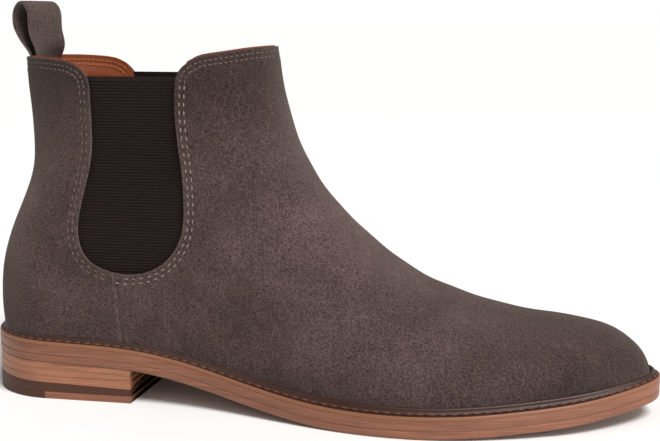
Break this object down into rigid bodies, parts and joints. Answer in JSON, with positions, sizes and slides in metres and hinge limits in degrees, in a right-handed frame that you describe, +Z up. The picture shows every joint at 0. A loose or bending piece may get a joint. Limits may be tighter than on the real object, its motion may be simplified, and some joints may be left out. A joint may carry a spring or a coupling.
{
  "type": "chelsea boot",
  "caption": "Right-foot suede ankle boot with elastic side gores, a rear pull tab, a stitched welt, a leather sole and a stacked heel.",
  "frame": {"origin": "on the floor under the middle of the boot's bounding box", "axes": "+X from heel to toe, +Y towards the inner (medial) side, +Z up"},
  "size_m": [0.3052, 0.1084, 0.1784],
  "materials": {
    "suede": "grey-brown suede, fine nap, matt",
    "elastic": "ribbed elastic webbing, dark brown",
    "lining_leather": "smooth vegetable-tanned lining, cognac",
    "interlining": "woven cotton interlining",
    "stiffener": "thermoformed fibre board",
    "welt_leather": "dark brown welting, waxed",
    "sole_leather": "tan sole leather, edge finished with wax",
    "stacked_leather": "tan stacked heel leather, edge finished with wax",
    "insole_board": "natural insole leather",
    "cork": "cork and latex filler",
    "shank_steel": "spring steel strip",
    "heel_rubber": "dark brown rubber top piece",
    "nail_brass": "brass heel nails"
  },
  "bodies": {
    "boot": {"vamp": "suede", "quarter_lower": "suede", "gore_lateral": "elastic", "gore_medial": "elastic", "vamp_lining": "lining_leather", "quarter_lining_lower": "lining_leather", "sock_liner": "lining_leather", "vamp_interlining": "interlining", "toe_puff": "stiffener", "heel_counter": "stiffener", "welt": "welt_leather", "midsole": "sole_leather", "outsole": "sole_leather", "heel_insert": "sole_leather", "heel_lift_1": "stacked_leather", "heel_lift_2": "stacked_leather", "heel_lift_3": "stacked_leather", "insole": "insole_board", "cork_filler": "cork", "shank": "shank_steel", "heel_rubber": "heel_rubber", "heel_nails": "nail_brass"},
    "back_shaft": {"quarter_upper": "suede", "quarter_lining_upper": "lining_leather", "quarter_backing": "interlining", "collar_tape_lateral": "interlining", "collar_tape_medial": "interlining", "pull_tab_tails": "suede"},
    "pull_tab": {"pull_tab": "suede"}
  },
  "joints": [
    {"name": "shaft_opening", "type": "hinge", "parent": "boot", "child": "back_shaft", "pos_m": [-0.1415, 0.00148, 0.082], "axis": [0, -1, 0], "range_deg": [0, 10], "stiffness_Nm_per_rad": 2, "deforming": ["gore_lateral", "gore_medial"]},
    {"name": "pull_tab_swing", "type": "hinge", "parent": "back_shaft", "child": "pull_tab", "pos_m": [-0.12975, 0.00148, 0.1562], "axis": [0, -1, 0], "range_deg": [-50, 60], "stiffness_Nm_per_rad": 0.01}
  ]
}
